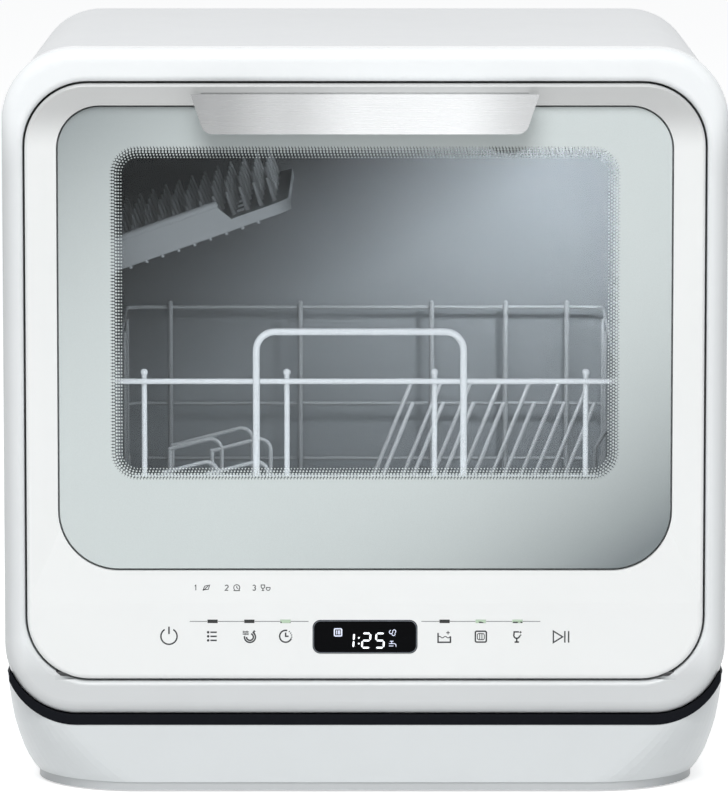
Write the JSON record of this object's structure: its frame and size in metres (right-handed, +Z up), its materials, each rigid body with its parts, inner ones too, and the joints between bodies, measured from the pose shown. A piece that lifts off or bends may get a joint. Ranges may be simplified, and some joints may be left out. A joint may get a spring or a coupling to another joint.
{
  "type": "countertop dishwasher",
  "caption": "Tabletop dishwasher with a drop-down glazed door, pull-out wire dish rack, folding cup shelf, spray arm, filter, pumps and drying fan.",
  "frame": {"origin": "centre of the footprint at the soles of the feet", "axes": "+Z up, -Y towards the front with the door, +X to the right seen from the front"},
  "size_m": [0.42, 0.435, 0.435],
  "materials": {
    "white_plastic": "gloss",
    "grey_plastic": "gloss",
    "dark_plastic": "matte",
    "rubber": "matte",
    "tub_steel": "brushed",
    "steel": "brushed",
    "handle_metal": "polished",
    "frosted_glass": "frosted",
    "clear_glass": "clear",
    "rack_wire": "coated wire",
    "shelf_plastic": "satin",
    "board_green": "matte",
    "lens_black": "gloss",
    "led_dark": "gloss"
  },
  "bodies": {
    "body": {"front_frame": "white_plastic", "casing": "grey_plastic", "back_panel": "grey_plastic", "base": "white_plastic", "base_band": "dark_plastic", "plinth": "white_plastic", "feet": "rubber", "tub": "tub_steel", "tub_seal": "rubber", "sump": "dark_plastic", "filter_plate": "steel", "arm_feed": "dark_plastic", "heater": "steel", "wash_pump": "dark_plastic", "wash_motor": "steel", "spray_hose": "rubber", "drain_pump": "dark_plastic", "drain_motor": "steel", "drain_hose": "rubber", "drain_spigot": "dark_plastic", "inlet_valve": "white_plastic", "fill_hose": "rubber", "air_break": "shelf_plastic", "cable_gland": "dark_plastic", "fan_housing": "dark_plastic", "runners": "steel", "shelf_bracket": "steel", "door_catch": "dark_plastic", "hinge_pins": "steel", "panel_screws": "steel"},
    "door": {"door_shell": "white_plastic", "door_glass": "frosted_glass", "door_liner": "tub_steel", "inner_glass": "clear_glass", "door_handle": "handle_metal", "handle_screws": "steel", "latch_hook": "steel", "dispenser": "grey_plastic", "control_board": "board_green", "display_module": "lens_black", "display_lens": "lens_black", "led_bars": "led_dark"},
    "rack": {"rack_floor": "rack_wire", "rack_front": "rack_wire", "rack_rear": "rack_wire", "rack_left": "rack_wire", "rack_right": "rack_wire", "rack_handle": "rack_wire", "tines_front": "rack_wire", "tines_rear": "rack_wire", "cup_loops": "rack_wire", "rack_glides": "shelf_plastic"},
    "shelf": {"cup_shelf": "shelf_plastic"},
    "arm": {"spray_arm": "steel"},
    "filter": {"filter_cartridge": "steel"},
    "wash_rotor": {"wash_impeller": "shelf_plastic"},
    "drain_rotor": {"drain_impeller": "shelf_plastic"},
    "fan": {"fan_rotor": "dark_plastic"},
    "lid": {"dispenser_lid": "shelf_plastic"}
  },
  "joints": [
    {"name": "door_hinge", "type": "hinge", "parent": "body", "child": "door", "pos_m": [0, -0.2045, 0.0704], "axis": [1, 0, 0], "range_deg": [0, 90]},
    {"name": "rack_slide", "type": "slide", "parent": "body", "child": "rack", "axis": [0, -1, 0], "range_m": [0, 0.135]},
    {"name": "shelf_fold", "type": "hinge", "parent": "body", "child": "shelf", "pos_m": [-0.172, -0.0175, 0.2937], "axis": [0, -1, 0], "range_deg": [0, 16]},
    {"name": "arm_spin", "type": "hinge", "parent": "body", "child": "arm", "pos_m": [0, -0.0215, 0.115], "axis": [0, 0, 1], "continuous": true},
    {"name": "filter_twist", "type": "hinge", "parent": "body", "child": "filter", "pos_m": [0.07, -0.0875, 0.06], "axis": [0, 0, 1], "range_deg": [0, 45]},
    {"name": "wash_impeller_spin", "type": "hinge", "parent": "body", "child": "wash_rotor", "pos_m": [0.07, -0.0175, 0.046], "axis": [0, 1, 0], "continuous": true},
    {"name": "drain_impeller_spin", "type": "hinge", "parent": "body", "child": "drain_rotor", "pos_m": [-0.004, -0.0875, 0.03], "axis": [1, 0, 0], "continuous": true},
    {"name": "fan_spin", "type": "hinge", "parent": "body", "child": "fan", "pos_m": [0.09, 0.1555, 0.368], "axis": [0, 1, 0], "continuous": true},
    {"name": "lid_slide", "type": "slide", "parent": "door", "child": "lid", "axis": [1, 0, 0], "range_m": [0, 0.033]}
  ],
  "couplings": [
    {"joint": "rack_slide", "follows": "door_hinge", "m_per_rad": 0.0859}
  ]
}
